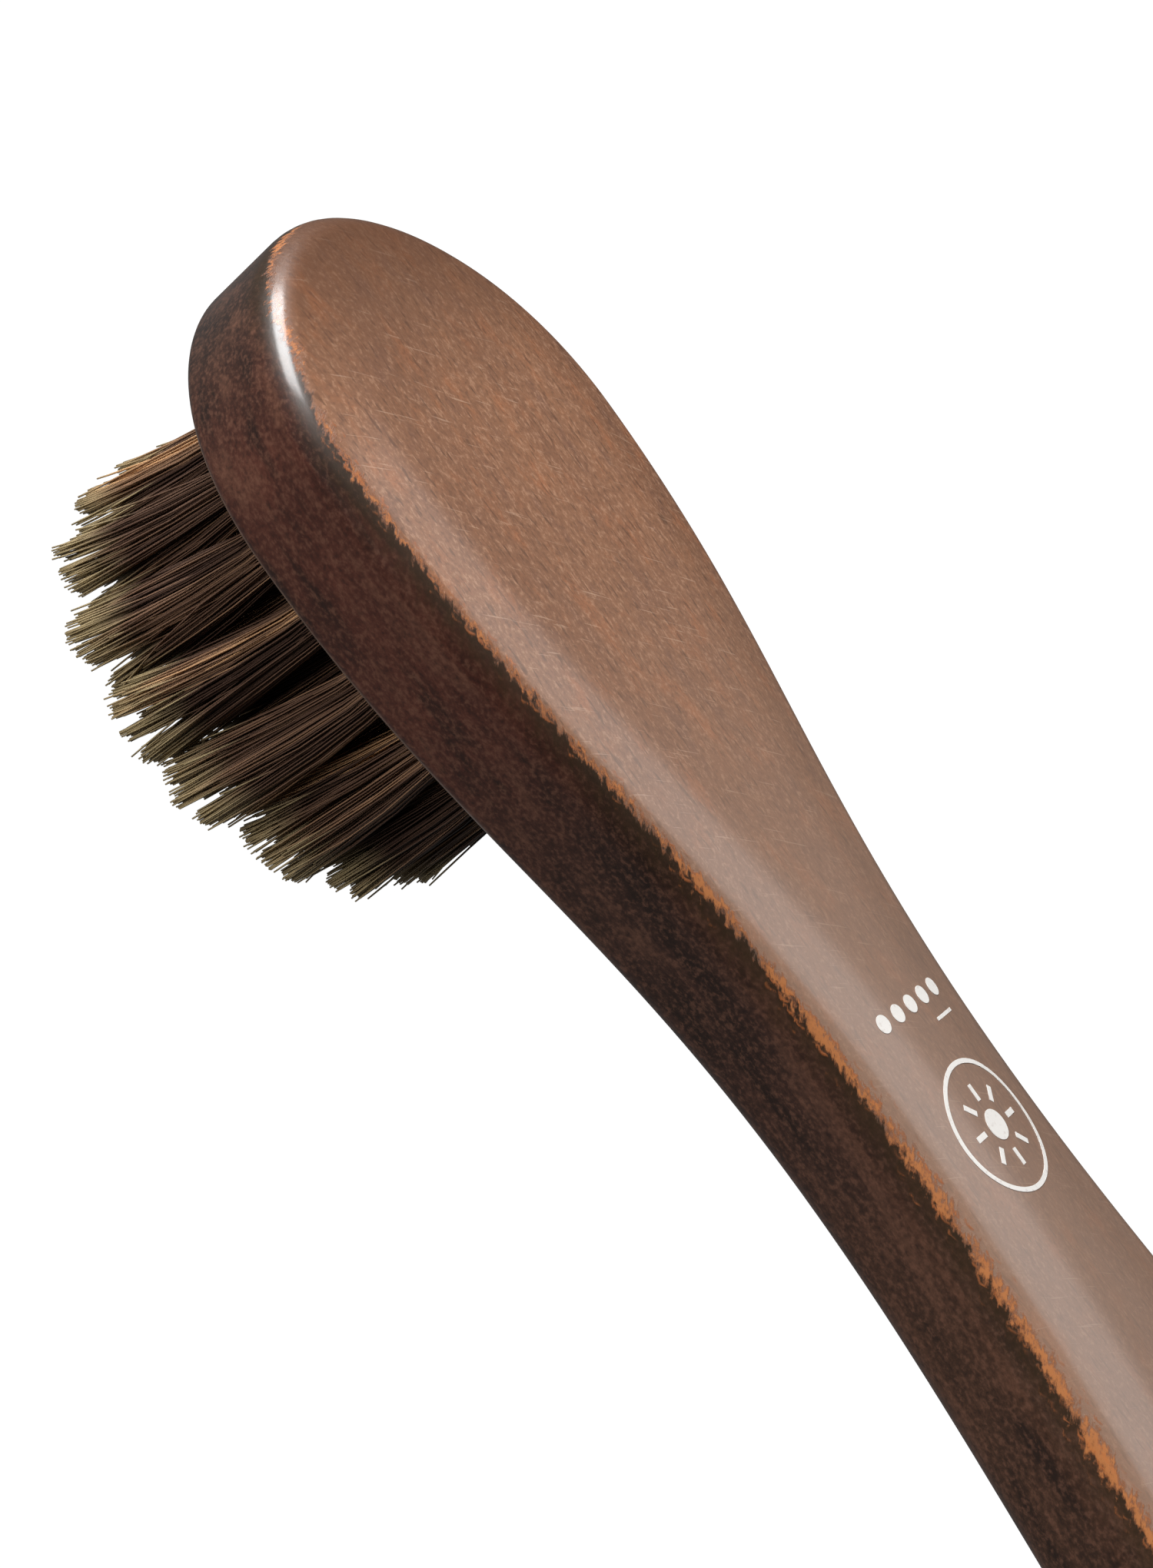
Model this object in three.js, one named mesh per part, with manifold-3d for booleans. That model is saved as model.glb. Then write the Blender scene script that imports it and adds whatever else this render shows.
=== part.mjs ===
// Body dry brush: a one-piece stained hardwood paddle with 28 tufts of horsehair.
// Each tuft is folded over a flat wire anchor that is driven into the foot of its own blind hole.
//
// Millimetres, +Z up. The brush stands on its bristle tips at Z = 0, with its back face level on top.
// X runs from the nose of the head (-X) to the end of the handle (+X), and Y = 0 is the mirror plane.
// The origin is the middle of the length, on the plane of the bristle tips.

import * as THREE from 'three';
import { mergeVertices } from 'three/addons/utils/BufferGeometryUtils.js';
import Module from 'manifold-3d';

const wasm = await Module();
wasm.setup();

// ---------------------------------------------------------------------------------------------
// Driving dimensions

const BRISTLE_LENGTH = 20; // from the wood to the trimmed tips
const WOOD_THICKNESS = 12;
const BRUSH_LENGTH = 182;

// Plan outline: distance from the nose, and half-width, where the outline runs parallel to X. The reaches say
// how far the curve holds its direction on each side of such a place.
const NOSE_REACH = 10;
const HEAD = { at: 23.4, halfWidth: 22, reachToNose: 14.5, reachToWaist: 24.2 };
const WAIST = { at: 86.2, halfWidth: 11.8, reachToHead: 27.2, reachToPalm: 24 };
const PALM = { at: 153.4, halfWidth: 18, reachToWaist: 26 };

const BACK_EDGE_RADIUS = 3.2; // the soft arris round the back face
const FACE_EDGE_RADIUS = 1.4; // the crisper arris round the bristle face

// Tufts stand in rings, which are ellipses about the middle of the bristle field.
const FIELD_CENTRE_AT = 28; // from the nose
const FIELD_LEAN = -2; // the whole trimmed field stands this far towards the nose
const RINGS = [
  { name: 'outer', count: 16, alongX: 17.9, alongY: 14.9 },
  { name: 'middle', count: 10, alongX: 10.9, alongY: 8.5 },
  { name: 'core', count: 2, alongX: 3.4, alongY: 3.4 },
];
const SPLAY = { alongX: 1.02, alongY: 1.25 }; // ring at the tips over ring at the wood

const HOLE_RADIUS = 2.1;
const HOLE_DEPTH = 9;
const ROOT_RADIUS = 1.8; // the packed tuft inside its hole
const TIP_RADIUS = 2.95; // the opened tuft where it is trimmed
const CLEARANCE = 0.3; // between neighbours that touch on the real brush

const ANCHOR = { width: 5, height: 2.3, thickness: 0.5 }; // cut from flat steel wire
const FOLD_THICKNESS = 1; // the bend of the hairs behind their anchor

const OVERRUN = 1; // how far a cutter runs past the surface that it cuts

// ---------------------------------------------------------------------------------------------
// Derived places

const NOSE_X = -BRUSH_LENGTH / 2;
const FACE_Z = BRISTLE_LENGTH; // bristle face of the wood
const BACK_Z = FACE_Z + WOOD_THICKNESS;
const HOLE_END_Z = FACE_Z + HOLE_DEPTH;
const FOLD_Z = HOLE_END_Z - CLEARANCE; // end of the folded tuft
const ANCHOR_TOP_Z = FOLD_Z - FOLD_THICKNESS - CLEARANCE;
const ANCHOR_FOOT_Z = ANCHOR_TOP_Z - ANCHOR.height;

// ---------------------------------------------------------------------------------------------
// Materials

const stainedWood = new THREE.MeshStandardMaterial({ color: 0x5a3c2e, roughness: 0.42, metalness: 0 });
const horsehair = new THREE.MeshStandardMaterial({ color: 0x33261f, roughness: 0.55, metalness: 0 });
const anchorSteel = new THREE.MeshStandardMaterial({ color: 0xa9abad, roughness: 0.35, metalness: 1 });

// ---------------------------------------------------------------------------------------------
// Solids

function solidFrom(geometry) {
  const bare = geometry.index ? geometry.toNonIndexed() : geometry.clone();
  bare.deleteAttribute('normal');
  bare.deleteAttribute('uv');
  const merged = mergeVertices(bare, 1e-4);
  return new wasm.Manifold(new wasm.Mesh({
    numProp: 3,
    vertProperties: merged.attributes.position.array,
    triVerts: new Uint32Array(merged.index.array),
  }));
}

function geometryFrom(solid) {
  const mesh = solid.getMesh();
  const geometry = new THREE.BufferGeometry();
  geometry.setAttribute('position', new THREE.BufferAttribute(mesh.vertProperties, mesh.numProp));
  geometry.setIndex(new THREE.BufferAttribute(mesh.triVerts, 1));
  geometry.computeVertexNormals();
  return geometry;
}

function boxBetween(low, high) {
  const size = high.map((value, axis) => value - low[axis]);
  const middle = high.map((value, axis) => (value + low[axis]) / 2);
  return new THREE.BoxGeometry(...size).translate(...middle);
}

function uprightCylinder(radius, lowZ, highZ, sides) {
  return new THREE.CylinderGeometry(radius, radius, highZ - lowZ, sides)
    .rotateX(Math.PI / 2)
    .translate(0, 0, (lowZ + highZ) / 2);
}

// ---------------------------------------------------------------------------------------------
// Wooden body

// A blunt nose, a long taper to the waist, a swell into the palm and an elliptical end.
function bodyOutline() {
  const headX = NOSE_X + HEAD.at;
  const waistX = NOSE_X + WAIST.at;
  const palmX = NOSE_X + PALM.at;
  const endLength = BRUSH_LENGTH - PALM.at;
  const shape = new THREE.Shape();
  shape.moveTo(NOSE_X, 0);
  shape.bezierCurveTo(
    NOSE_X, -NOSE_REACH,
    headX - HEAD.reachToNose, -HEAD.halfWidth,
    headX, -HEAD.halfWidth,
  );
  shape.bezierCurveTo(
    headX + HEAD.reachToWaist, -HEAD.halfWidth,
    waistX - WAIST.reachToHead, -WAIST.halfWidth,
    waistX, -WAIST.halfWidth,
  );
  shape.bezierCurveTo(
    waistX + WAIST.reachToPalm, -WAIST.halfWidth,
    palmX - PALM.reachToWaist, -PALM.halfWidth,
    palmX, -PALM.halfWidth,
  );
  shape.absellipse(palmX, 0, endLength, PALM.halfWidth, -Math.PI / 2, Math.PI / 2, false, 0);
  shape.bezierCurveTo(
    palmX - PALM.reachToWaist, PALM.halfWidth,
    waistX + WAIST.reachToPalm, WAIST.halfWidth,
    waistX, WAIST.halfWidth,
  );
  shape.bezierCurveTo(
    waistX - WAIST.reachToHead, WAIST.halfWidth,
    headX + HEAD.reachToWaist, HEAD.halfWidth,
    headX, HEAD.halfWidth,
  );
  shape.bezierCurveTo(
    headX - HEAD.reachToNose, HEAD.halfWidth,
    NOSE_X, NOSE_REACH,
    NOSE_X, 0,
  );
  return shape;
}

// The full slab with one edge radius all round both faces.
function slab(edgeRadius, edgeSegments) {
  return new THREE.ExtrudeGeometry(bodyOutline(), {
    depth: WOOD_THICKNESS - 2 * edgeRadius,
    bevelThickness: edgeRadius,
    bevelSize: edgeRadius,
    bevelOffset: -edgeRadius,
    bevelSegments: edgeSegments,
    curveSegments: 16,
  }).translate(0, 0, FACE_Z + edgeRadius);
}

// A tuft hole, with the two grooves that the anchor's ends cut down its wall on their way in.
function holeCutter() {
  const bore = uprightCylinder(HOLE_RADIUS, FACE_Z - OVERRUN, HOLE_END_Z, 16);
  const grooveX = ANCHOR.thickness / 2 + CLEARANCE;
  const grooveY = ANCHOR.width / 2 + CLEARANCE;
  const grooves = boxBetween(
    [-grooveX, -grooveY, FACE_Z - OVERRUN],
    [grooveX, grooveY, ANCHOR_TOP_Z + CLEARANCE],
  );
  return solidFrom(bore).add(solidFrom(grooves));
}

function woodenBody(places) {
  const middleZ = (FACE_Z + BACK_Z) / 2;
  const reach = BRUSH_LENGTH;
  const above = solidFrom(boxBetween([-reach, -reach, middleZ], [reach, reach, BACK_Z + OVERRUN]));
  const below = solidFrom(boxBetween([-reach, -reach, FACE_Z - OVERRUN], [reach, reach, middleZ]));
  const backHalf = solidFrom(slab(BACK_EDGE_RADIUS, 4)).intersect(above);
  const faceHalf = solidFrom(slab(FACE_EDGE_RADIUS, 2)).intersect(below);
  const cutter = holeCutter();
  let body = backHalf.add(faceHalf);
  for (const place of places) {
    body = body.subtract(cutter.translate([place.x, place.y, 0]));
  }
  const mesh = new THREE.Mesh(geometryFrom(body), stainedWood);
  mesh.name = 'wooden_body';
  return mesh;
}

// ---------------------------------------------------------------------------------------------
// Tufts and anchors

// Where each tuft leaves the wood, and how far its trimmed end has moved sideways from there.
function tuftPlaces() {
  const centreX = NOSE_X + FIELD_CENTRE_AT;
  const places = [];
  for (const ring of RINGS) {
    for (let i = 0; i < ring.count; i += 1) {
      const angle = (2 * Math.PI * i) / ring.count;
      const x = ring.alongX * Math.cos(angle);
      const y = ring.alongY * Math.sin(angle);
      places.push({
        label: `${ring.name}_${String(i + 1).padStart(2, '0')}`,
        x: centreX + x,
        y,
        splayX: x * (SPLAY.alongX - 1) + FIELD_LEAN,
        splayY: y * (SPLAY.alongY - 1),
      });
    }
  }
  return places;
}

// Slides each level below the wood sideways, in proportion to its distance from the wood.
function lean(geometry, splayX, splayY) {
  const position = geometry.attributes.position;
  for (let i = 0; i < position.count; i += 1) {
    const share = Math.max(0, (FACE_Z - position.getZ(i)) / BRISTLE_LENGTH);
    position.setX(i, position.getX(i) + splayX * share);
    position.setY(i, position.getY(i) + splayY * share);
  }
  return geometry;
}

// A packed cylinder in the hole that opens out below the wood, slotted where its anchor goes through.
function tuft(place) {
  const profile = [
    new THREE.Vector2(0, 0),
    new THREE.Vector2(TIP_RADIUS, 0),
    new THREE.Vector2(ROOT_RADIUS, FACE_Z),
    new THREE.Vector2(ROOT_RADIUS, FOLD_Z),
    new THREE.Vector2(0, FOLD_Z),
  ];
  const bundle = new THREE.LatheGeometry(profile, 12).rotateX(Math.PI / 2);
  const slotX = ANCHOR.thickness / 2 + CLEARANCE;
  const slotY = ROOT_RADIUS + OVERRUN;
  const slot = boxBetween(
    [-slotX, -slotY, ANCHOR_FOOT_Z - CLEARANCE],
    [slotX, slotY, ANCHOR_TOP_Z + CLEARANCE],
  );
  const solid = solidFrom(lean(bundle, place.splayX, place.splayY)).subtract(solidFrom(slot));
  const mesh = new THREE.Mesh(geometryFrom(solid), horsehair);
  mesh.name = `tuft_${place.label}`;
  mesh.position.set(place.x, place.y, 0);
  return mesh;
}

// A flat wire across the grain, whose ends bite into the wood on both sides of the hole.
function anchor(place) {
  const wire = new THREE.BoxGeometry(ANCHOR.thickness, ANCHOR.width, ANCHOR.height);
  const mesh = new THREE.Mesh(wire, anchorSteel);
  mesh.name = `anchor_${place.label}`;
  mesh.position.set(place.x, place.y, (ANCHOR_FOOT_Z + ANCHOR_TOP_Z) / 2);
  return mesh;
}

// ---------------------------------------------------------------------------------------------
// Assembly

const brush = new THREE.Group();
const places = tuftPlaces();
brush.add(woodenBody(places));
for (const place of places) {
  brush.add(tuft(place));
  brush.add(anchor(place));
}

export default brush;
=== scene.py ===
"""Body dry brush: a walnut-stained beech paddle, horsehair tufts and a plain printed mark.

The hairs are folded over flat wire anchors in drilled holes, as in a staple-set brush.
Blender works in metres, in the row frame: +Z up, bristle tips at z = 0, nose of the head towards -X.
Sizes that a maker would give are millimetres here, and MM turns them into metres.
"""

import math

import bpy
import numpy as np
from mathutils import Matrix, Quaternion, Vector


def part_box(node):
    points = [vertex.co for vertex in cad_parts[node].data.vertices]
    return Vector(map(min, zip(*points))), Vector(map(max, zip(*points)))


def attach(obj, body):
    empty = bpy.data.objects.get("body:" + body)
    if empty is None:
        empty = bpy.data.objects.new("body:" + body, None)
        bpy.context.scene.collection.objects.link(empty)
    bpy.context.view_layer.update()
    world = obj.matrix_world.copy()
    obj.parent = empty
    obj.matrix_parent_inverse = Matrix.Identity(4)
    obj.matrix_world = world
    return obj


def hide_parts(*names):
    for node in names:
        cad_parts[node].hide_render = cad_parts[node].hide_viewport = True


MM = 0.001

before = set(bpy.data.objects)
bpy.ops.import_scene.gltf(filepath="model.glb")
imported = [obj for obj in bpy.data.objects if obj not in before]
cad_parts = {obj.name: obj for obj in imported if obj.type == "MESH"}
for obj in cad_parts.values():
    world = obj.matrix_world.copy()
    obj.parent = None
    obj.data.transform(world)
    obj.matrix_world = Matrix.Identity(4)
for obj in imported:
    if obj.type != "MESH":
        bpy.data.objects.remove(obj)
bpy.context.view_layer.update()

# ---------------------------------------------------------------------------------------------
# Places taken from the frame, in millimetres

body_low, body_high = (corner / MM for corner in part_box("wooden_body"))
NOSE_X = body_low.x
END_X = body_high.x
FACE_Z = body_low.z  # bristle face of the wood
BACK_Z = body_high.z
WOOD_THICKNESS = BACK_Z - FACE_Z
HEAD_HALF_WIDTH = body_high.y

TUFT_NAMES = sorted(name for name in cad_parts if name.startswith("tuft_"))
ANCHOR_NAMES = sorted(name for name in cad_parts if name.startswith("anchor_"))

# ---------------------------------------------------------------------------------------------
# Driving dimensions, in millimetres

# Plan outline: distance from the nose and half-width at each knot, and how far its curve holds on each way.
NOSE_HOLD = 10
HEAD_AT, HEAD_TO_NOSE, HEAD_TO_WAIST = 23.4, 14.5, 24.2
WAIST_AT, WAIST_HALF_WIDTH, WAIST_TO_HEAD, WAIST_TO_PALM = 86.2, 11.8, 27.2, 24
PALM_AT, PALM_HALF_WIDTH, PALM_TO_WAIST = 153.4, 18, 26
OUTLINE_STEPS = 40  # points between two knots

ARRIS_HEAD, ARRIS_HANDLE = 3.2, 4.8  # radius round the back face
FOOT_HEAD, FOOT_HANDLE = 1.1, 2.6  # radius round the bristle face
ARRIS_STEPS = 10
SOFTENS_FROM, SOFTENS_TO = 40, 100  # from the nose: where the radii grow
CROWN = 0.6  # how far the middle of the back stands above its rim
CROWN_RUN = 6.5  # width of the curved margin of the back face
CROWN_RINGS = 7
FOOT_MARGIN = 0.3  # flat strip inside the foot's rounding, which keeps its normals off the bristle face
LEVEL = 0.01  # heights this close are level
FLAT = 0.999  # a normal this near to upright belongs to a flat face
SOFT_ANGLE = 35  # faces that meet at fewer degrees than this shade as one

HOLE_RADIUS = 2.1
HOLE_DEPTH = 9
HOLE_SIDES = 24
DRILL_START = 1  # how far off the bristle face the drill starts

PACKED_RADIUS = 1.88  # the tuft where it leaves the wood
OPEN_RADIUS = 4.15  # the tuft at its trimmed end
OPENING = 1.55  # at 1 a tuft opens evenly, and above it stays closed for longer near the wood
LEAN = 0.15  # spread of a tuft's lean

HAIRS = 220  # folded hairs in a tuft, so twice as many ends
HAIR_RADIUS = 0.1
HAIR_BOW, STRAY_BOW = 0.24, 2  # spread of a hair's bow, and how many times more a stray hair bows
END_SCATTER = 0.25  # spread of the ends before the locks draw them in
TRIM_HEIGHT, TRIM_SPREAD = 0.04, 0.25  # where the shears cut
STRAY_SHARE, STRAY_REACH = 0.03, 0.6  # hairs that leave their lock, and how far they spread
SHORT_SHARE, SHORT_BY = 0.07, (0.5, 3.5)  # hairs that were cut or broken short
ANCHOR_GAP = 0.05  # between the hairs and the anchor's sides
FOLD_BELOW, FOLD_ABOVE = 0.3, (0.15, 1.0)  # a fold starts below its anchor and lies this far above it

LOCKS = 9
LOCK_RING = (0.6, 0.92)  # where locks gather, as a share of the open radius
LOCK_PULL = (0.15, 0.55)  # how far a lock draws its hairs in
LOCK_RISE, LOCK_BOW = 0.7, 0.18  # how much higher some locks were cut, and the spread of a lock's bow
TAN_AND_DARK = (1.3, 2.2)  # shape of the locks' tints: few are tan and most are dark
TUFT_TINT, HAIR_TINT = 0.05, 0.13  # spread of the tint from tuft to tuft and from hair to hair
FIRST_SEED = 100

PRINT_Z = BACK_Z + 1  # flat print is made here and then laid down
INK_GAP, INK_THICKNESS = 0.01, 0.03  # off the wood, and of the ink
MARK_CENTRE_X, MARK_RADIUS, MARK_RING_WIDTH = -0.4, 5.9, 0.42
SUN_RADIUS, SUN_RAYS, SUN_RAY_AT, SUN_RAY_LENGTH, SUN_RAY_WIDTH = 1.35, 8, 3.0, 1.5, 0.5
DOTS, DOTS_X, DOT_RADIUS, DOT_SPACING = 5, -11.9, 0.8, 2.5
DASH_AT, DASH_LENGTH, DASH_WIDTH = (-9.6, 3.8), 3.2, 0.3
DISC_SIDES = 64

CAMERA_PLACE, CAMERA_AIM = (-18.9, -229.2, 157.35), (-39.55, -21.9, 32.0)
CAMERA_TURN = 51.67  # degrees about its own line of sight
CAMERA_LENS, CAMERA_SENSOR = 76.1, 36

NECK_AT, HANDLE_AT = 60, 105  # from the nose: where the finish is the neck's, and the handle's

# The same places in metres from the origin, which is how a shader reads them
NOSE, NECK, HANDLE = (NOSE_X * MM, (NOSE_X + NECK_AT) * MM, (NOSE_X + HANDLE_AT) * MM)


# ---------------------------------------------------------------------------------------------
# Small helpers


def smooth_step(low, high, value):
    share = np.clip((value - low) / (high - low), 0, 1)
    return share * share * (3 - 2 * share)


def deselect():
    if bpy.context.object and bpy.context.object.mode != "OBJECT":
        bpy.ops.object.mode_set(mode="OBJECT")
    bpy.ops.object.select_all(action="DESELECT")


def only(piece):
    deselect()
    piece.select_set(True)
    bpy.context.view_layer.objects.active = piece


def pick_none(piece, kind):
    """Sets what edit mode picks, faces or edges, with none of them picked yet."""
    only(piece)
    bpy.ops.object.mode_set(mode="EDIT")
    bpy.ops.mesh.select_mode(type=kind)
    bpy.ops.mesh.select_all(action="DESELECT")
    bpy.ops.object.mode_set(mode="OBJECT")


def select_faces(piece, test):
    """Selects the faces whose centre and normal pass the test, and leaves the piece in edit mode."""
    pick_none(piece, "FACE")
    for face in piece.data.polygons:
        face.select = bool(test(face.center / MM, face.normal))
    bpy.ops.object.mode_set(mode="EDIT")


def apply_modifiers(piece):
    only(piece)
    for modifier in list(piece.modifiers):
        bpy.ops.object.modifier_apply(modifier=modifier.name)


def settle(piece):
    """Leaves the piece's object at the origin, with its place in its mesh."""
    only(piece)
    bpy.ops.object.transform_apply(location=True, rotation=True, scale=True)


def vertex_places(mesh):
    """A mesh's vertices, in millimetres."""
    flat = np.empty(len(mesh.vertices) * 3)
    mesh.vertices.foreach_get("co", flat)
    return flat.reshape(-1, 3) / MM


# ---------------------------------------------------------------------------------------------
# Node helpers


def linear(code, alpha=1.0):
    """An sRGB hex colour as the linear RGBA that shaders take."""
    channels = [int(code[i : i + 2], 16) / 255 for i in (1, 3, 5)]
    return (*[c / 12.92 if c <= 0.04045 else ((c + 0.055) / 1.055) ** 2.4 for c in channels], alpha)


def add(tree, kind, sockets=None, **settings):
    """Adds a node with its settings, and fills sockets, by name or number, with values or links."""
    made = tree.nodes.new("ShaderNode" + kind)
    for name, value in settings.items():
        setattr(made, name, value)
    in_use = [socket for socket in made.inputs if socket.enabled]
    for key, value in (sockets or {}).items():
        socket = in_use[key] if isinstance(key, int) else next(s for s in in_use if s.name == key)
        if isinstance(value, bpy.types.Node):
            value = next(output for output in value.outputs if output.enabled)
        if isinstance(value, bpy.types.NodeSocket):
            tree.links.new(value, socket)
        else:
            socket.default_value = value
    return made


def new_material(name):
    """A node material, its tree and its main shader."""
    made = bpy.data.materials.new(name)
    made.use_nodes = True
    tree = made.node_tree
    return made, tree, tree.nodes["Principled BSDF"]


def grown_patterns(tree, patterns):
    """Noise for each named pattern: where it is read, its turn in degrees, the real size of its cells in
    millimetres, its detail and its roughness."""
    grown = {}
    for name, (where, turn, size, detail, rough) in patterns.items():
        cells = add(
            tree,
            "Mapping",
            {"Vector": where, "Rotation": (0, 0, math.radians(turn)), "Scale": [side * MM for side in size]},
            vector_type="TEXTURE",
        )
        in_cells = {"Vector": cells, "Scale": 1, "Detail": detail, "Roughness": rough}
        grown[name] = add(tree, "TexNoise", in_cells)
    return grown


def laid_over(tree, colour, coats):
    """Lays coats over a colour.

    Each coat says what it follows, where that starts and is full, how much there is then, and its colour.
    """
    for follows, start, full, most, code in coats:
        share = add(
            tree,
            "MapRange",
            {"Value": follows, "From Min": start, "From Max": full, "To Max": most},
            interpolation_type="SMOOTHSTEP",
        )
        colour = add(tree, "Mix", {"Factor": share, "A": colour, "B": linear(code)}, data_type="RGBA")
    return colour


# ---------------------------------------------------------------------------------------------
# Materials


def beech_back(tree, grown, along):
    """The back's colour: the stain over the wood's figure, with a painted sheen that greys it towards the
    handle.
    """
    return laid_over(tree, linear("#875c41"), [
        (grown["bands"], 0.34, 0.68, 0.8, "#926547"),
        (grown["grain"], 0.4, 0.75, 0.3, "#704a31"),
        (grown["blotches"], 0.5, 0.72, 0.5, "#b06c41"),
        (grown["blotches"], 0.48, 0.3, 0.5, "#755140"),
        (grown["nap"], 0.5, 0.7, 0.45, "#c49879"),
        (grown["nap"], 0.48, 0.3, 0.45, "#563826"),
        (grown["flecks"], 0.6, 0.72, 0.55, "#50321f"),
        (grown["scuffs"], 0.66, 0.74, 0.4, "#cba88d"),
        (along, NOSE + 22 * MM, NOSE, 0.8, "#54331f"),  # darker towards the nose
        (along, NECK - 30 * MM, NECK + 20 * MM, 0.62, "#937a6a"),  # painted sheen: lighter and greyer towards the handle, standing in for light that the varnish reflects
    ])


def beech_side(tree, grown, along, across):
    """The side's colour, darker than the back. A pale line along the foot's edge round the head is a painted
    reflection of the table.
    """
    off_foot = add(tree, "Math", {0: across, 1: (WOOD_THICKNESS + 0.1) * MM}, operation="SUBTRACT")
    off_foot = add(tree, "Math", {0: off_foot}, operation="ABSOLUTE")
    past_head = add(tree, "MapRange", {
        "Value": along, "From Min": NECK - 10 * MM, "From Max": NECK, "To Min": 0, "To Max": 3 * MM,
    })
    off_foot = add(tree, "Math", {0: off_foot, 1: past_head}, operation="ADD")
    return laid_over(tree, linear("#442219"), [
        (grown["blotches"], 0.4, 0.75, 0.6, "#5f3427"),
        (along, NOSE + 20 * MM, NOSE + 2 * MM, 0.8, "#2c2017"),
        (along, NECK - 20 * MM, NECK, 0.75, "#30211a"),
        (along, NECK + 15 * MM, HANDLE, 0.6, "#472f20"),
        (grown["streaks"], 0.47, 0.66, 0.75, "#1a0f0a"),
        (grown["streaks"], 0.48, 0.36, 0.35, "#6b4837"),
        (grown["nap"], 0.45, 0.7, 0.45, "#75503f"),
        (grown["nap"], 0.5, 0.25, 0.6, "#1c100c"),
        # painted reflection: a pale line along the foot's edge round the head, where the table would shine in
        # the rounding
        (off_foot, 0.6 * MM, 0.1 * MM, 0.6, "#a08c80"),
    ])


def below_stain_edge(tree, along, across, torn):
    """How far a place is below the stain's edge, which is ragged because it follows the torn fibres.

    The edge stands higher round the head than along the handle, and it drops at the nose.
    """
    head_rise = add(tree, "MapRange", {
        "Value": along, "From Min": NECK + 20 * MM, "From Max": NOSE + 40 * MM, "To Max": 1.3 * MM,
    })
    nose_drop = add(tree, "MapRange", {
        "Value": along, "From Min": NOSE + 12 * MM, "From Max": NOSE + 3 * MM, "To Max": -2.5 * MM,
    })
    level = add(tree, "Math", {0: across, 1: head_rise}, operation="ADD")
    level = add(tree, "Math", {0: level, 1: nose_drop}, operation="ADD")
    return add(tree, "Math", {0: torn, 1: 4.5 * MM, 2: level}, operation="MULTIPLY_ADD")


def stain_line(tree, colour, ragged):
    """Lays the dark line where the stain gathered under its edge."""
    below = add(tree, "MapRange", {"Value": ragged, "From Min": 0.6 * MM, "From Max": 1.3 * MM})
    fading = add(tree, "MapRange", {
        "Value": ragged, "From Min": 4.5 * MM, "From Max": 1.4 * MM, "To Max": 0.8,
    })
    gathered = add(tree, "Math", {0: below, 1: fading}, operation="MULTIPLY")
    return laid_over(tree, colour, [(gathered, 0, 1, 1, "#2f200f")])


def off_worn_band(tree, along, ragged):
    """How far a place is from the middle of the worn band, in half-widths. The band widens to the handle."""
    reach = add(tree, "MapRange", {
        "Value": along,
        "From Min": NECK - 30 * MM,
        "From Max": HANDLE,
        "To Min": 0.5 * MM,
        "To Max": 0.95 * MM,
    })
    away = add(tree, "Math", {0: ragged, 1: -0.6 * MM}, operation="ADD")
    away = add(tree, "Math", {0: away}, operation="ABSOLUTE")
    return add(tree, "Math", {0: away, 1: reach}, operation="DIVIDE")


def wear(tree, grown, along, away):
    """How worn a place is: more towards the handle, and most where the patches are."""
    worn = add(tree, "MapRange", {
        "Value": along, "From Min": NOSE, "From Max": HANDLE, "To Min": -0.35, "To Max": -0.08,
    })
    for weight, part in ((1.0, grown["nap"]), (1.9, grown["patches"]), (-0.5, away)):
        worn = add(tree, "Math", {0: part, 1: weight, 2: worn}, operation="MULTIPLY_ADD")
    return worn


def broken_hooks(tree, edge, torn, limits):
    """Where a fibre lifted, the varnish broke round it in a small hook, bowed down the side.

    Each limit on where hooks show is a value, where they start in it and where they are full.
    """
    cells = add(tree, "Mapping", {"Vector": edge, "Scale": (1.3 * MM, MM, 1)}, vector_type="TEXTURE")
    bent = add(tree, "VectorMath", {0: torn, 1: (1.1, 1.1, 0), 2: cells}, operation="MULTIPLY_ADD")
    hooks = add(tree, "TexVoronoi", {"Vector": bent, "Scale": 1, "Randomness": 0.85}, voronoi_dimensions="2D")
    off_ring = add(tree, "Math", {0: hooks.outputs["Distance"], 1: 0.32}, operation="SUBTRACT")
    off_ring = add(tree, "Math", {0: off_ring}, operation="ABSOLUTE")
    from_middle = add(tree, "VectorMath", {0: bent, 1: hooks.outputs["Position"]}, operation="SUBTRACT")
    lower_half = add(tree, "SeparateXYZ", {"Vector": from_middle}).outputs["Y"]
    drawn = add(tree, "SeparateXYZ", {"Vector": hooks.outputs["Color"]}).outputs["X"]
    hooked = add(tree, "MapRange", {"Value": off_ring, "From Min": 0.22, "From Max": 0.02})
    for value, start, full in ((lower_half, -0.05, 0.15), (drawn, 0.35, 0.6), *limits):
        share = add(tree, "MapRange", {"Value": value, "From Min": start, "From Max": full})
        hooked = add(tree, "Math", {0: hooked, 1: share}, operation="MULTIPLY")
    return hooked


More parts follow.
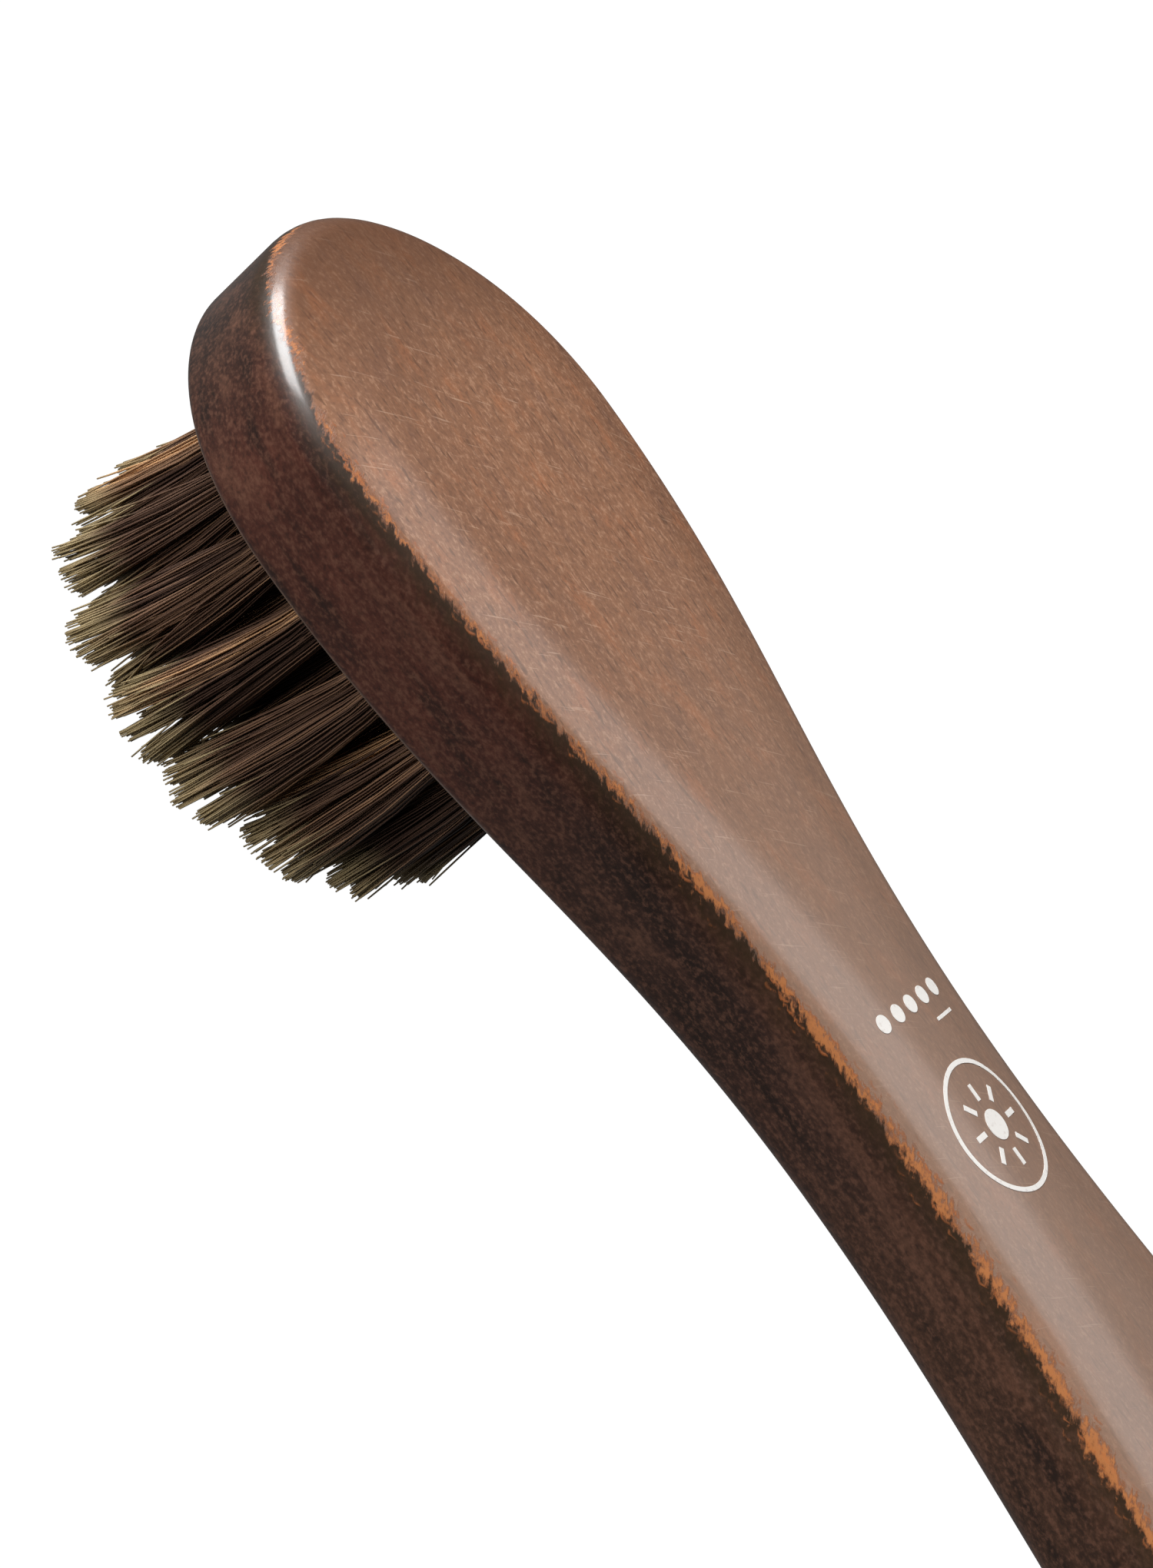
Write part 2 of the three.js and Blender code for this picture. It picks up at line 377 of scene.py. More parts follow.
def stained_beech():
    """Beech, planed and sanded, stained walnut and sealed with a satin varnish.

    The eye gets a warm mid-brown back with fine grain along the brush and short dark ray flecks, sides that
    took more stain, and an arris that handling has rubbed down to orange-brown fibres.
    """
    made, tree, shader = new_material("stained_beech")
    place = add(tree, "TexCoord").outputs["Object"]
    edge = add(tree, "Attribute", attribute_name="arris").outputs["Vector"]
    across = add(tree, "SeparateXYZ", {"Vector": edge}).outputs["Y"]  # 0 on the arris, then down the side
    along = add(tree, "SeparateXYZ", {"Vector": place}).outputs["X"]
    grown = grown_patterns(tree, {
        "bands": (place, 0, (70, 7, 7), 3, 0.5),  # growth rings cut lengthwise
        "grain": (place, 0, (7, 0.7, 0.7), 5, 0.65),
        "flecks": (place, 0, (1.9, 0.4, 0.4), 1, 0.5),  # rays, which beech shows as short dark dashes
        "blotches": (place, 0, (6, 3.2, 3.2), 5, 0.65),  # uneven take-up of the stain
        "nap": (place, 0, (0.55, 0.35, 0.35), 3, 0.65),  # fibre ends that the sanding left
        "scuffs": (place, 64, (5, 0.22, 5), 2, 0.5),  # fine scratches askew to the grain
        "streaks": (place, 0, (26, 2.8, 2.8), 5, 0.65),  # lengthwise streaks of stain on the sides
        "patches": (edge, 0, (7, 5, 1), 4, 0.6),  # where the arris was rubbed most
        "fibres": (edge, 38, (0.6, 2.0, 1), 5, 0.7),  # torn fibres lean across the arris
    })

    torn = add(tree, "Math", {0: grown["fibres"], 1: -0.5}, operation="ADD")
    ragged = below_stain_edge(tree, along, across, torn)
    on_side = add(tree, "MapRange", {"Value": ragged, "From Min": 0.4 * MM, "From Max": 1.4 * MM})
    back = beech_back(tree, grown, along)
    side = beech_side(tree, grown, along, across)
    colour = add(tree, "Mix", {"Factor": on_side, "A": back, "B": side}, data_type="RGBA")
    colour = stain_line(tree, colour, ragged)

    away = off_worn_band(tree, along, ragged)
    worn = wear(tree, grown, along, away)
    hooked = broken_hooks(tree, edge, torn, [
        (away, 2.8, 1.2),
        (along, NOSE + 8 * MM, NOSE + 20 * MM),
        (grown["patches"], 0.38, 0.56),
    ])
    rubbed = add(tree, "MapRange", {"Value": worn, "From Min": 0.75, "From Max": 1.2})
    rubbed = add(tree, "Math", {0: rubbed, 1: hooked}, operation="MAXIMUM")
    colour = laid_over(tree, colour, [
        (rubbed, 0, 0.8, 0.8, "#85502f"),
        (worn, 1.0, 1.35, 0.7, "#c27a42"),
        (hooked, 0, 1, 0.35, "#c06a30"),
    ])

    rough = add(tree, "MapRange", {
        "Value": grown["grain"], "From Min": 0.3, "From Max": 0.7, "To Min": 0.42, "To Max": 0.52,
    })
    rough = add(tree, "Math", {0: rubbed, 1: 0.2, 2: rough}, operation="MULTIPLY_ADD")
    relief = rubbed
    for weight, part in ((0.5, grown["grain"]), (0.35, grown["nap"]), (-0.15, grown["flecks"])):
        relief = add(tree, "Math", {0: part, 1: weight, 2: relief}, operation="MULTIPLY_ADD")
    bump = add(tree, "Bump", {"Height": relief, "Strength": 0.4, "Distance": 0.07 * MM})
    tree.links.new(colour.outputs[2], shader.inputs["Base Color"])
    tree.links.new(rough.outputs[0], shader.inputs["Roughness"])
    tree.links.new(bump.outputs[0], shader.inputs["Normal"])
    shader.inputs["IOR"].default_value = 1.5
    shader.inputs["Specular IOR Level"].default_value = 0.5
    shader.inputs["Coat Weight"].default_value = 0.75
    shader.inputs["Coat Roughness"].default_value = 0.19
    return made


def horsehair():
    """Horse tail hair, boiled and trimmed.

    The eye gets dark brown strands with a few tan ones among them, and dull olive ends where the shears cut.
    The UV map's U is the hair's own tint and its V runs from the trimmed end to the wood.
    """
    made, tree, shader = new_material("horsehair")
    strand = add(tree, "SeparateXYZ", {"Vector": add(tree, "UVMap", uv_map="strand")})
    tint, along = strand.outputs["X"], strand.outputs["Y"]
    colour = laid_over(tree, linear("#3d2c24"), [
        (tint, 0.0, 0.4, 1, "#664d3e"),
        (tint, 0.35, 0.7, 1, "#927055"),
        (tint, 0.65, 1.0, 1, "#cfa275"),
    ])
    cut_end = add(tree, "Math", {0: tint, 1: 0.1, 2: along}, operation="MULTIPLY_ADD")
    colour = laid_over(tree, colour, [(cut_end, 0.32, 0.04, 0.85, "#b3a078")])
    tree.links.new(colour.outputs[2], shader.inputs["Base Color"])
    shader.inputs["Roughness"].default_value = 0.46
    shader.inputs["IOR"].default_value = 1.55
    shader.inputs["Specular IOR Level"].default_value = 0.35
    return made


def tinned_wire():
    """Flat steel wire, drawn and tinned: a soft grey metal with fine lines along its length."""
    made, tree, shader = new_material("tinned_wire")
    place = add(tree, "TexCoord").outputs["Object"]
    lines = grown_patterns(tree, {"lines": (place, 0, (0.16, 2.5, 0.16), 3, 0.5)})["lines"]
    colour = laid_over(tree, linear("#9a9c9e"), [(lines, 0.3, 0.7, 1, "#b9bbbd")])
    rough = add(tree, "MapRange", {
        "Value": lines, "From Min": 0.3, "From Max": 0.7, "To Min": 0.3, "To Max": 0.45,
    })
    tree.links.new(colour.outputs[2], shader.inputs["Base Color"])
    tree.links.new(rough.outputs[0], shader.inputs["Roughness"])
    shader.inputs["Metallic"].default_value = 1.0
    return made


def printing_ink():
    """White screen-printing ink: matt, and thin in places, so that the brown shows through."""
    made, tree, shader = new_material("printing_ink")
    place = add(tree, "TexCoord").outputs["Object"]
    thin = grown_patterns(tree, {"thin": (place, 0, (0.4, 0.4, 0.4), 3, 0.5)})["thin"]
    colour = laid_over(tree, linear("#efebe6"), [(thin, 0.55, 0.8, 0.5, "#b9a79b")])
    tree.links.new(colour.outputs[2], shader.inputs["Base Color"])
    shader.inputs["Roughness"].default_value = 0.55
    return made


def opal_acrylic():
    """Cast acrylic sheet, sanded matt and lit from beneath, so that nothing on it throws a shadow."""
    made, _, shader = new_material("opal_acrylic")
    shader.inputs["Base Color"].default_value = linear("#303030")
    shader.inputs["Roughness"].default_value = 0.9
    shader.inputs["Emission Color"].default_value = linear("#ffffff")
    shader.inputs["Emission Strength"].default_value = 1.0
    return made


# ---------------------------------------------------------------------------------------------
# Wooden body


def outline_knots():
    """The outline's eight knots, round from the nose: place, handle before and handle after."""
    arc = 4 / 3 * (math.sqrt(2) - 1)  # share of the radius that makes a quarter ellipse
    head, waist, palm = NOSE_X + HEAD_AT, NOSE_X + WAIST_AT, NOSE_X + PALM_AT
    half = [
        (head, HEAD_HALF_WIDTH, HEAD_TO_NOSE, HEAD_TO_WAIST),
        (waist, WAIST_HALF_WIDTH, WAIST_TO_HEAD, WAIST_TO_PALM),
        (palm, PALM_HALF_WIDTH, PALM_TO_WAIST, arc * (END_X - palm)),
    ]
    end_hold = arc * PALM_HALF_WIDTH
    knots = [((NOSE_X, 0), (NOSE_X, -NOSE_HOLD), (NOSE_X, NOSE_HOLD))]
    knots += [((x, w), (x - before, w), (x + after, w)) for x, w, before, after in half]
    knots += [((END_X, 0), (END_X, end_hold), (END_X, -end_hold))]
    knots += [((x, -w), (x + after, -w), (x - before, -w)) for x, w, before, after in reversed(half)]
    return knots


def outline_loop():
    """The plan outline as a closed loop of edges at the bristle face."""
    deselect()
    bpy.ops.curve.primitive_bezier_circle_add(radius=1, location=(0, 0, 0))
    loop = bpy.context.object
    bpy.ops.object.mode_set(mode="EDIT")
    bpy.ops.curve.select_all(action="SELECT")
    bpy.ops.curve.subdivide(number_cuts=1)  # from four knots to eight
    bpy.ops.object.mode_set(mode="OBJECT")
    loop.data.resolution_u = OUTLINE_STEPS
    for point, (place, before, after) in zip(loop.data.splines[0].bezier_points, outline_knots()):
        point.handle_left_type = point.handle_right_type = "FREE"
        point.co = Vector((*place, FACE_Z)) * MM
        point.handle_left = Vector((*before, FACE_Z)) * MM
        point.handle_right = Vector((*after, FACE_Z)) * MM
    bpy.ops.object.convert(target="MESH")
    loop.name = "wooden_paddle"
    return loop


def radius_at(x, at_head, at_handle):
    """A rim's radius, which grows from the head to the handle."""
    return at_head + (at_handle - at_head) * smooth_step(SOFTENS_FROM, SOFTENS_TO, x - NOSE_X)


def round_rims(paddle):
    """Rounds both rims, wider along the handle than round the head."""
    mesh = paddle.data
    places = vertex_places(mesh)
    weights = []
    for rim in mesh.edges:
        first, second = (places[i] for i in rim.vertices)
        middle = (first + second) / 2
        if abs(first[2] - second[2]) > LEVEL:
            weights.append(0.0)
        elif middle[2] > (FACE_Z + BACK_Z) / 2:
            weights.append(radius_at(middle[0], ARRIS_HEAD, ARRIS_HANDLE) / ARRIS_HANDLE)
        else:
            weights.append(radius_at(middle[0], FOOT_HEAD, FOOT_HANDLE) / ARRIS_HANDLE)
    attribute = mesh.attributes.new("bevel_weight_edge", "FLOAT", "EDGE")
    attribute.data.foreach_set("value", weights)
    bevel = paddle.modifiers.new("rims", "BEVEL")
    bevel.limit_method = "WEIGHT"
    bevel.width = ARRIS_HANDLE * MM  # a weight of 1 is the widest radius
    bevel.segments = ARRIS_STEPS
    bevel.use_clamp_overlap = False
    apply_modifiers(paddle)


def crown_back(paddle):
    """Raises the back face ring by ring, so that it is level in the middle and falls away at its margin."""
    select_faces(paddle, lambda place, normal: normal.z > FLAT and place.z > BACK_Z - 2 * CROWN)
    height = 0.0
    for ring in range(CROWN_RINGS):
        share = (ring + 1) / CROWN_RINGS
        new_height = CROWN * (1 - (1 - share) ** 2)
        bpy.ops.mesh.inset(
            thickness=CROWN_RUN / CROWN_RINGS * MM, depth=(new_height - height) * MM, use_even_offset=True
        )
        height = new_height
    bpy.ops.object.mode_set(mode="OBJECT")


def tuft_roots():
    """The middle of each anchor, in millimetres. Each anchor is in the middle of its hole."""
    roots = []
    for name in ANCHOR_NAMES:
        low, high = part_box(name)
        roots.append((low + high) / 2 / MM)
    return roots


def drill_holes(paddle):
    """Drills the blind holes, all in one cut."""
    deselect()
    bits = []
    depth = DRILL_START + HOLE_DEPTH
    for root in tuft_roots():
        bpy.ops.mesh.primitive_cylinder_add(
            vertices=HOLE_SIDES,
            radius=HOLE_RADIUS * MM,
            depth=depth * MM,
            location=(root.x * MM, root.y * MM, (FACE_Z - DRILL_START + depth / 2) * MM),
        )
        bits.append(bpy.context.object)
    for bit in bits:
        bit.select_set(True)
    bpy.ops.object.join()
    drill = bpy.context.object
    cut = paddle.modifiers.new("holes", "BOOLEAN")
    cut.operation = "DIFFERENCE"
    cut.solver = "EXACT"
    cut.object = drill
    apply_modifiers(paddle)
    bpy.data.objects.remove(drill)


def measure_arris(paddle, outline):
    """Stores, for each vertex, its run along the outline and its way across the arris, in metres.

    Across is 0 on the middle of the arris, falls towards the middle of the back, and grows down the side
    and on over the bristle face.
    """
    closed = np.vstack([outline, outline[:1]])
    steps = np.diff(closed, axis=0)
    run = np.concatenate([[0], np.cumsum(np.linalg.norm(steps, axis=1))])
    places = vertex_places(paddle.data)
    stored = np.zeros((len(places), 3), np.float32)
    for i, place in enumerate(places):
        share = np.clip(((place[:2] - outline) * steps).sum(1) / (steps**2).sum(1), 0, 1)
        away = np.linalg.norm(outline + steps * share[:, None] - place[:2], axis=1)
        nearest = away.argmin()
        depth = BACK_Z - place[2]
        inset = -away[nearest] if depth < WOOD_THICKNESS / 2 else away[nearest]
        stored[i] = (run[nearest] + share[nearest] * np.linalg.norm(steps[nearest]), depth + inset, 0)
    attribute = paddle.data.attributes.new("arris", "FLOAT_VECTOR", "POINT")
    attribute.data.foreach_set("vector", (stored * MM).ravel())


def wooden_paddle(material):
    """The wooden body: the outline raised to a board, rounded, crowned and drilled."""
    paddle = outline_loop()
    outline = vertex_places(paddle.data)[:, :2]
    pick_none(paddle, "EDGE")
    bpy.ops.object.mode_set(mode="EDIT")
    bpy.ops.mesh.select_all(action="SELECT")
    bpy.ops.mesh.edge_face_add()
    rise = (0, 0, (WOOD_THICKNESS - CROWN) * MM)
    bpy.ops.mesh.extrude_region_move(TRANSFORM_OT_translate={"value": rise})
    bpy.ops.mesh.select_all(action="SELECT")
    bpy.ops.mesh.normals_make_consistent(inside=False)
    bpy.ops.object.mode_set(mode="OBJECT")
    round_rims(paddle)
    crown_back(paddle)
    select_faces(paddle, lambda place, normal: normal.z < -FLAT and place.z < FACE_Z + LEVEL)
    bpy.ops.mesh.inset(thickness=FOOT_MARGIN * MM)
    bpy.ops.object.mode_set(mode="OBJECT")
    drill_holes(paddle)
    only(paddle)
    bpy.ops.object.shade_smooth_by_angle(angle=math.radians(SOFT_ANGLE))
    measure_arris(paddle, outline)
    paddle.data.materials.clear()
    paddle.data.materials.append(material)
    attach(paddle, "root")
    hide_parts("wooden_body")
    return paddle


# ---------------------------------------------------------------------------------------------
# Tufts

# Share of the free length at each ring of a hair, from its trimmed end to the wood.
FREE_RINGS = (0.0, 0.07, 0.28, 0.52, 0.77, 1.0)
FOLD_RINGS = 3  # one on each side of the anchor, and one over it
RINGS = 2 * len(FREE_RINGS) + FOLD_RINGS


def straight_hair():
    """One straight three-sided hair: each vertex's ring and angle, and the faces that join them."""
    deselect()
    bpy.ops.mesh.primitive_cylinder_add(vertices=3, radius=1, depth=RINGS - 1, location=(0, 0, 0))
    hair = bpy.context.object
    pick_none(hair, "EDGE")
    for side in hair.data.edges:
        low, high = (hair.data.vertices[i].co.z for i in side.vertices)
        side.select = abs(low - high) > 0.5
    bpy.ops.object.mode_set(mode="EDIT")
    bpy.ops.mesh.subdivide(number_cuts=RINGS - 2)
    bpy.ops.object.mode_set(mode="OBJECT")
    places = vertex_places(hair.data) * MM  # this hair's rings stand one unit apart
    rings = np.rint(places[:, 2] + (RINGS - 1) / 2).astype(int)
    angles = np.arctan2(places[:, 1], places[:, 0])
    faces = [tuple(face.vertices) for face in hair.data.polygons]
    bpy.data.objects.remove(hair)
    return rings, angles, faces


def round_the_middle(angle):
    """Points on a circle of radius 1."""
    return np.stack([np.cos(angle), np.sin(angle)], 1)


def disc_points(chance, count, radius):
    """Points spread evenly over a disc."""
    angle = chance.uniform(0, 2 * math.pi, count)
    return radius * np.sqrt(chance.uniform(0, 1, count))[:, None] * round_the_middle(angle)


def lock_centres(chance):
    """Where the locks gather at the trimmed end: one in the middle and the rest round it."""
    outer = LOCKS - 1
    angle = np.arange(outer) * 2 * math.pi / outer + chance.uniform(0, 1)
    ring = round_the_middle(angle) * OPEN_RADIUS * chance.uniform(*LOCK_RING, (outer, 1))
    return np.vstack([[0, 0], ring])


def free_ends(chance, mouths, tip_centre, root):
    """The centre line of each hair's free length, and each hair's lock.

    A line has a point at each of FREE_RINGS, from the trimmed end to the wood.
    """
    count = len(mouths)
    locks = lock_centres(chance)
    rise = chance.uniform(0, LOCK_RISE, LOCKS)
    spread = mouths * OPEN_RADIUS / PACKED_RADIUS + chance.normal(0, END_SCATTER, (count, 2))
    nearest = np.linalg.norm(spread[:, None] - locks[None], axis=2).argmin(1)
    pull = chance.uniform(*LOCK_PULL, count)[:, None]
    tips = spread + (locks[nearest] - spread) * pull
    stray = chance.uniform(0, 1, count) < STRAY_SHARE
    tips[stray] += chance.normal(0, STRAY_REACH, (stray.sum(), 2))
    heights = TRIM_HEIGHT + rise[nearest] + chance.uniform(0, TRIM_SPREAD, count)
    short = chance.uniform(0, 1, count) < SHORT_SHARE
    heights[short] += chance.uniform(*SHORT_BY, short.sum())
    bow = chance.normal(0, HAIR_BOW, (count, 2)) + chance.normal(0, LOCK_BOW, (LOCKS, 2))[nearest]
    bow[stray] *= STRAY_BOW
    lines = []
    for share in FREE_RINGS:
        opened = (1 - share) ** OPENING
        flat = mouths + (tips + tip_centre - root - mouths) * opened
        flat = flat + bow * math.sin(math.pi * share)
        level = heights + (FACE_Z - heights) * share
        lines.append(np.column_stack([flat + root, level]))
    return np.stack(lines, 1), nearest


def hair_lines(chance, root, tip_centre, anchor_low, anchor_high):
    """Centre lines of the folded hairs, from one trimmed end over the anchor to the other, and the locks.

    Each hair has two locks, because its two ends may gather in different ones.
    """
    clear = (anchor_high.x - anchor_low.x) / 2 + HAIR_RADIUS + ANCHOR_GAP
    ends = []
    locks = []
    besides = []
    for sign in (1, -1):
        mouths = disc_points(chance, HAIRS, PACKED_RADIUS)
        mouths[:, 0] = sign * np.abs(mouths[:, 0])
        free, nearest = free_ends(chance, mouths, tip_centre, root)
        ends.append(free)
        locks.append(nearest)
        beside = mouths.copy()
        beside[:, 0] = sign * (clear + np.abs(mouths[:, 0]) * (PACKED_RADIUS - clear) / PACKED_RADIUS)
        beside *= np.minimum(1, PACKED_RADIUS / np.linalg.norm(beside, axis=1))[:, None]
        besides.append(np.column_stack([beside + root, np.full(HAIRS, anchor_low.z - FOLD_BELOW)]))
    middle = (besides[0] + besides[1]) / 2
    middle[:, 2] = chance.uniform(anchor_high.z + FOLD_ABOVE[0], anchor_high.z + FOLD_ABOVE[1], HAIRS)
    middle[:, 0] = root[0]
    lines = [ends[0], besides[0][:, None], middle[:, None], besides[1][:, None], ends[1][:, ::-1]]
    return np.concatenate(lines, axis=1), np.stack(locks, axis=1)


def hair_thickness():
    """Radius of a hair at each of its rings: full in the wood, and a little finer at the trimmed ends."""
    shares = np.ones(RINGS)
    shares[[0, -1]] = 0.8
    shares[[1, -2]] = 0.95
    return HAIR_RADIUS * shares


def hairs_along(lines, straight):
    """Bends a copy of the straight hair along every line at once: their vertices and faces."""
    rings, angles, faces = straight
    tangent = np.gradient(lines, axis=1)
    tangent /= np.linalg.norm(tangent, axis=2)[..., None]
    across = np.cross(tangent, (0.0, 1.0, 0.0))
    across /= np.linalg.norm(across, axis=2)[..., None]
    other = np.cross(tangent, across)
    radius = hair_thickness()[rings][:, None]
    cosine, sine = np.cos(angles)[:, None], np.sin(angles)[:, None]
    vertices = lines[:, rings] + radius * (cosine * across[:, rings] + sine * other[:, rings])
    count = len(rings)
    all_faces = [tuple(i + k * count for i in face) for k in range(len(lines)) for face in faces]
    return vertices.reshape(-1, 3), all_faces


def strand_map(mesh, tints, rings):
    """U is the tint of each end of a hair, and V runs from 0 at its trimmed ends to 1 at the wood."""
    along_ring = np.array([*FREE_RINGS, *[1.0] * FOLD_RINGS, *FREE_RINGS[::-1]])
    along = np.tile(along_ring[rings], len(tints))
    tint = tints[:, (rings > RINGS // 2).astype(int)].ravel()
    corners = np.empty(len(mesh.loops), int)
    mesh.loops.foreach_get("vertex_index", corners)
    layer = mesh.uv_layers.new(name="strand")
    layer.data.foreach_set("uv", np.column_stack([tint[corners], along[corners]]).ravel())


def hair_tuft(name, order, straight, material):
    """One tuft: hairs folded over their anchor, packed in the hole and opening into locks."""
    chance = np.random.default_rng(FIRST_SEED + order)
    anchor_low, anchor_high = (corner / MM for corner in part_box("anchor_" + name))
    root = np.array((anchor_low + anchor_high)[:2]) / 2
    places = vertex_places(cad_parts["tuft_" + name].data)
    trimmed = places[places[:, 2] < 0.1]  # the foot that the tuft stands on
    tip_centre = (trimmed.min(0) + trimmed.max(0))[:2] / 2 + chance.normal(0, LEAN, 2)
    lines, locks = hair_lines(chance, root, tip_centre, anchor_low, anchor_high)
    vertices, faces = hairs_along(lines, straight)
    mesh = bpy.data.meshes.new("hair_" + name)
    mesh.from_pydata(vertices * MM, [], faces)
    lock_tints = chance.beta(*TAN_AND_DARK, LOCKS) + chance.normal(0, TUFT_TINT)
    tints = lock_tints[locks] + chance.normal(0, HAIR_TINT, (HAIRS, 1))
    strand_map(mesh, np.clip(tints, 0, 1), straight[0])
    mesh.materials.append(material)
    tuft = bpy.data.objects.new("hair_" + name, mesh)
    bpy.context.scene.collection.objects.link(tuft)
    only(tuft)
    bpy.ops.object.shade_smooth()
    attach(tuft, "root")
    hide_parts("tuft_" + name)


# ---------------------------------------------------------------------------------------------
# Printed mark


def lay_on_back(piece, paddle):
    """Lays a flat piece of print on the crowned back and gives it the ink's thickness."""
    wrap = piece.modifiers.new("wrap", "SHRINKWRAP")
    wrap.target = paddle
    wrap.wrap_method = "PROJECT"
    wrap.use_project_z = True
    wrap.use_negative_direction = True
    wrap.use_positive_direction = False
    wrap.offset = INK_GAP * MM
    film = piece.modifiers.new("film", "SOLIDIFY")
    film.thickness = INK_THICKNESS * MM
    film.offset = 1
    apply_modifiers(piece)


def finish_print(piece, name, paddle, material):
    """Names a flat piece of print, lays it on the wood and gives it its ink. It replaces no node."""
    piece.name = name
    settle(piece)
    lay_on_back(piece, paddle)
    piece.data.materials.clear()
    piece.data.materials.append(material)
    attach(piece, "root")


def flat_disc(x, y, radius):
    """A round piece of print, still flat above the wood."""
    deselect()
    bpy.ops.mesh.primitive_circle_add(
        vertices=DISC_SIDES,
        radius=radius * MM,
        fill_type="NGON",
        location=(x * MM, y * MM, PRINT_Z * MM),
    )
    return bpy.context.object


def flat_bar(x, y, length, width):
    """A straight piece of print, still flat above the wood, with its length along X."""
    deselect()
    bpy.ops.mesh.primitive_plane_add(size=1, location=(x * MM, y * MM, PRINT_Z * MM))
    bar = bpy.context.object
    bar.scale = (length * MM, width * MM, 1)
    settle(bar)
    return bar


def joined(pieces):
    """The pieces as one."""
    deselect()
    for piece in pieces:
        piece.select_set(True)
    bpy.context.view_layer.objects.active = pieces[0]
    bpy.ops.object.join()
    return bpy.context.object


def moved_copies(piece, moves):
    """The piece and a copy of it, with its own mesh, for every move."""
    settle(piece)
    pieces = [piece]
    for move in moves:
        copy = piece.copy()
        copy.data = piece.data.copy()
        copy.data.transform(move)
        bpy.context.scene.collection.objects.link(copy)
        pieces.append(copy)
    return pieces


def printed_sun(paddle, material):
    """A plain sun in a thin ring."""
    ring = flat_disc(MARK_CENTRE_X, 0, MARK_RADIUS)
    select_faces(ring, lambda place, normal: True)
    bpy.ops.mesh.inset(thickness=MARK_RING_WIDTH * MM)
    bpy.ops.mesh.delete(type="FACE")
    bpy.ops.object.mode_set(mode="OBJECT")
    finish_print(ring, "printed_ring", paddle, material)
    finish_print(flat_disc(MARK_CENTRE_X, 0, SUN_RADIUS), "printed_sun", paddle, material)
    centre = Matrix.Translation((MARK_CENTRE_X * MM, 0, 0))
    angles = [2 * math.pi * k / SUN_RAYS for k in range(1, SUN_RAYS)]
    turns = [centre @ Matrix.Rotation(angle, 4, "Z") @ centre.inverted() for angle in angles]
    ray = flat_bar(MARK_CENTRE_X + SUN_RAY_AT, 0, SUN_RAY_LENGTH, SUN_RAY_WIDTH)
    finish_print(joined(moved_copies(ray, turns)), "printed_rays", paddle, material)


def printed_dots(paddle, material):
    """A row of plain dots across the handle, and a short dash."""
    first = -(DOTS - 1) / 2 * DOT_SPACING
    steps = [Matrix.Translation((0, k * DOT_SPACING * MM, 0)) for k in range(1, DOTS)]
    dots = moved_copies(flat_disc(DOTS_X, first, DOT_RADIUS), steps)
    finish_print(joined(dots), "printed_dots", paddle, material)
    dash = flat_bar(*DASH_AT, DASH_WIDTH, DASH_LENGTH)  # its own length lies along Y
    finish_print(dash, "printed_dash", paddle, material)


# ---------------------------------------------------------------------------------------------
# Camera and lights


def camera_rig():
    """A long lens in front of the head and above it, turned so that the brush runs down to the right."""
    data = bpy.data.cameras.new("camera")
    data.sensor_width = CAMERA_SENSOR
    data.lens = CAMERA_LENS
    data.clip_start, data.clip_end = 0.01, 20
    camera = bpy.data.objects.new("camera", data)
    bpy.context.scene.collection.objects.link(camera)
    aim = Vector(CAMERA_AIM) * MM
    place = Vector(CAMERA_PLACE) * MM
    turned = Quaternion((0, 0, 1), math.radians(CAMERA_TURN))
    camera.rotation_mode = "QUATERNION"
    camera.rotation_quaternion = (aim - place).to_track_quat("-Z", "Y") @ turned
    camera.location = place
    bpy.context.scene.camera = camera


def softbox(name, place, aim, size, power, long_way=(1, 0, 0)):
    """A rectangular light that faces its aim, with its longer side along long_way. Metres and watts."""
    data = bpy.data.lights.new(name, "AREA")
    data.shape = "RECTANGLE"
    data.size, data.size_y = size
    data.energy = power
    light = bpy.data.objects.new(name, data)
    bpy.context.scene.collection.objects.link(light)
    back = (Vector(place) - Vector(aim)).normalized()
    across = Vector(long_way).normalized()
    across = (across - across.dot(back) * back).normalized()
    turn = Matrix((across, back.cross(across), back)).transposed()
    light.location = place
    light.rotation_mode = "QUATERNION"
    light.rotation_quaternion = turn.to_quaternion()
    return light


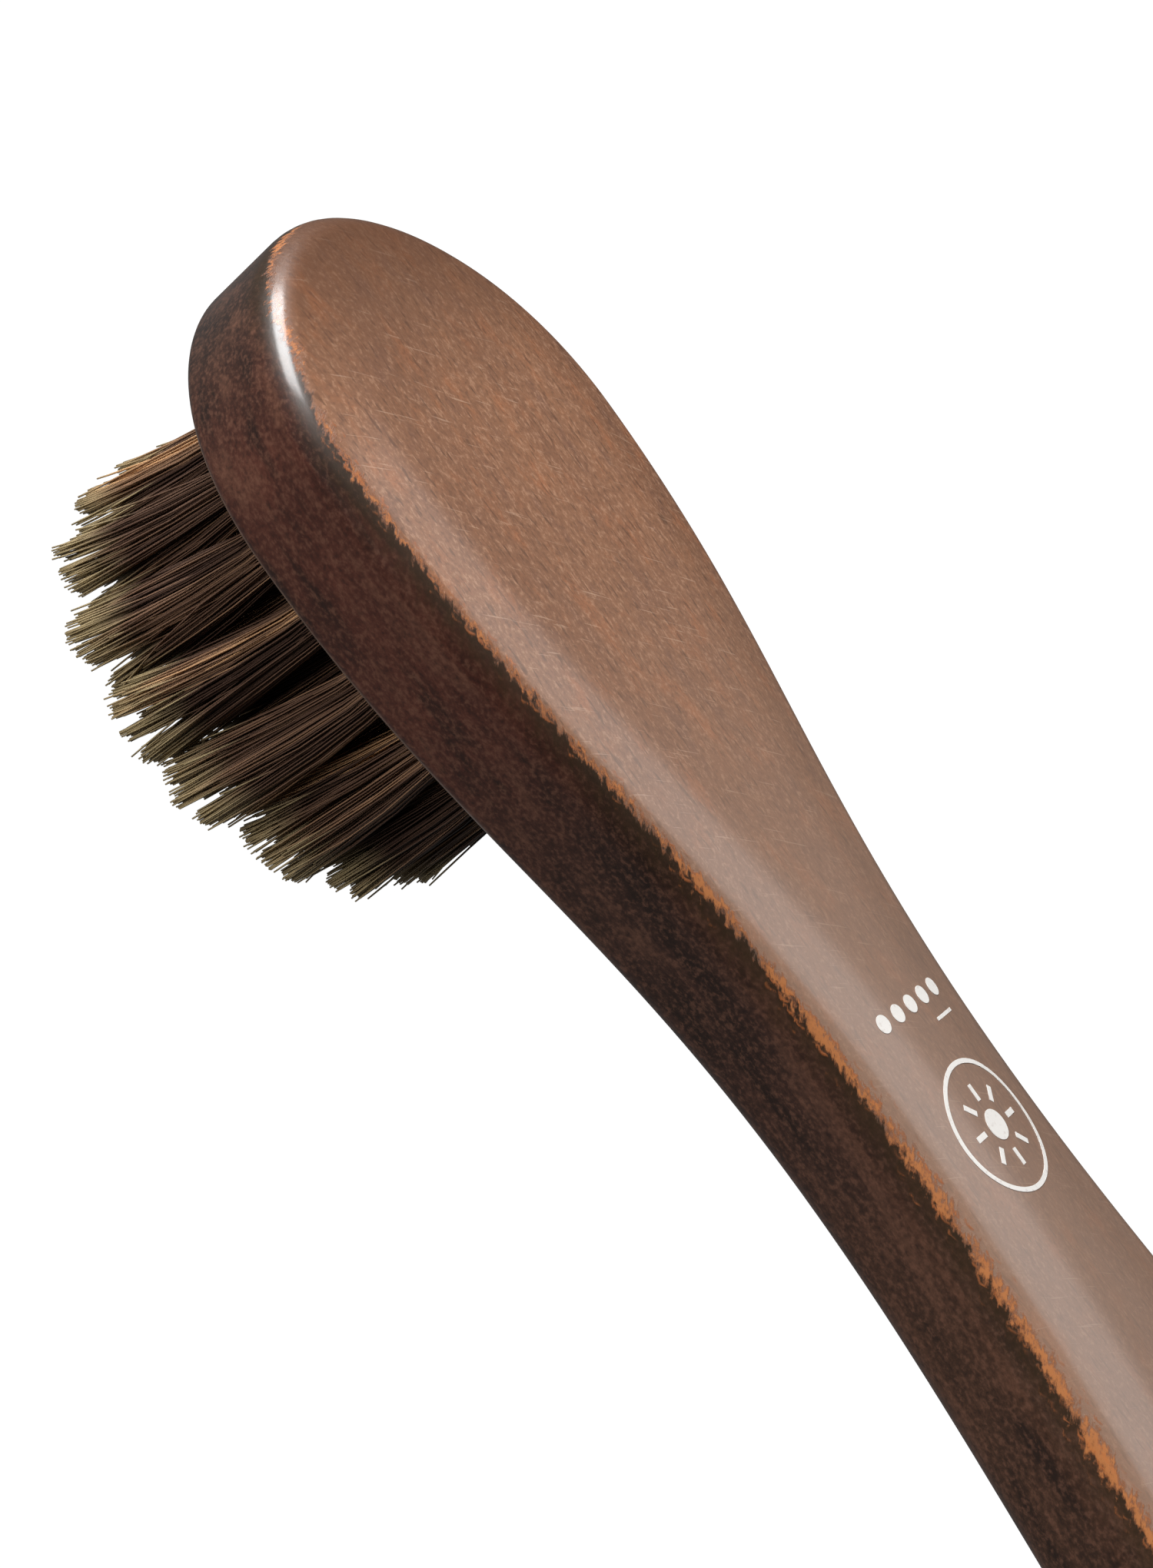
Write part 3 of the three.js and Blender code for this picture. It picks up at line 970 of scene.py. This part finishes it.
def studio_air():
    """A little light from all round, most of it up from the table."""
    world = bpy.data.worlds.new("studio_air")
    world.use_nodes = True
    tree = world.node_tree
    way = add(tree, "SeparateXYZ", {"Vector": add(tree, "TexCoord").outputs["Generated"]})
    strength = add(tree, "MapRange", {
        "Value": way.outputs["Z"], "From Min": -0.5, "From Max": 0, "To Min": 0.12, "To Max": 0.05,
    })
    background = tree.nodes["Background"]
    background.inputs["Color"].default_value = linear("#ffffff")
    tree.links.new(strength.outputs[0], background.inputs["Strength"])
    bpy.context.scene.world = world


def studio():
    """An opal light table, a softbox behind the brush, a fill in front and a narrow light off the nose."""
    deselect()
    bpy.ops.mesh.primitive_plane_add(size=6, location=(0, 0, 0))
    table = bpy.context.object
    table.name = "light_table"
    table.data.materials.append(opal_acrylic())
    table.visible_diffuse = False
    table.visible_glossy = False
    studio_air()
    softbox("key", place=(0.2, 0.42, 0.7), aim=(0, 0, 0.03), size=(1.0, 0.6), power=3.1)
    fill = softbox("fill", place=(-0.45, -0.88, 0.22), aim=(-0.03, 0, 0.02), size=(0.8, 0.4), power=7.4)
    fill.visible_glossy = False  # flagged off, so that the varnish doesn't mirror it
    nose = Vector((-0.08, -0.016, 0.031))
    # The two ends of the light, half a metre from the nose, where its rounded arris mirrors them.
    near, far = (nose + 0.5 * Vector(way) for way in ((-0.69, -0.30, 0.66), (-0.86, 0.31, 0.40)))
    long_way = far - near
    size = (long_way.length, 0.18)
    softbox("nose_light", place=(near + far) / 2, aim=nose, size=size, power=3.4, long_way=long_way)
    bpy.context.scene.view_settings.view_transform = "Standard"


# ---------------------------------------------------------------------------------------------
# Assembly

camera_rig()
studio()

paddle = wooden_paddle(stained_beech())
hair = horsehair()
straight = straight_hair()
for order, name in enumerate(TUFT_NAMES):
    hair_tuft(name.removeprefix("tuft_"), order, straight, hair)
wire = tinned_wire()
for name in ANCHOR_NAMES:
    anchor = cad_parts[name]
    anchor.data.materials.clear()
    anchor.data.materials.append(wire)
ink = printing_ink()
printed_sun(paddle, ink)
printed_dots(paddle, ink)
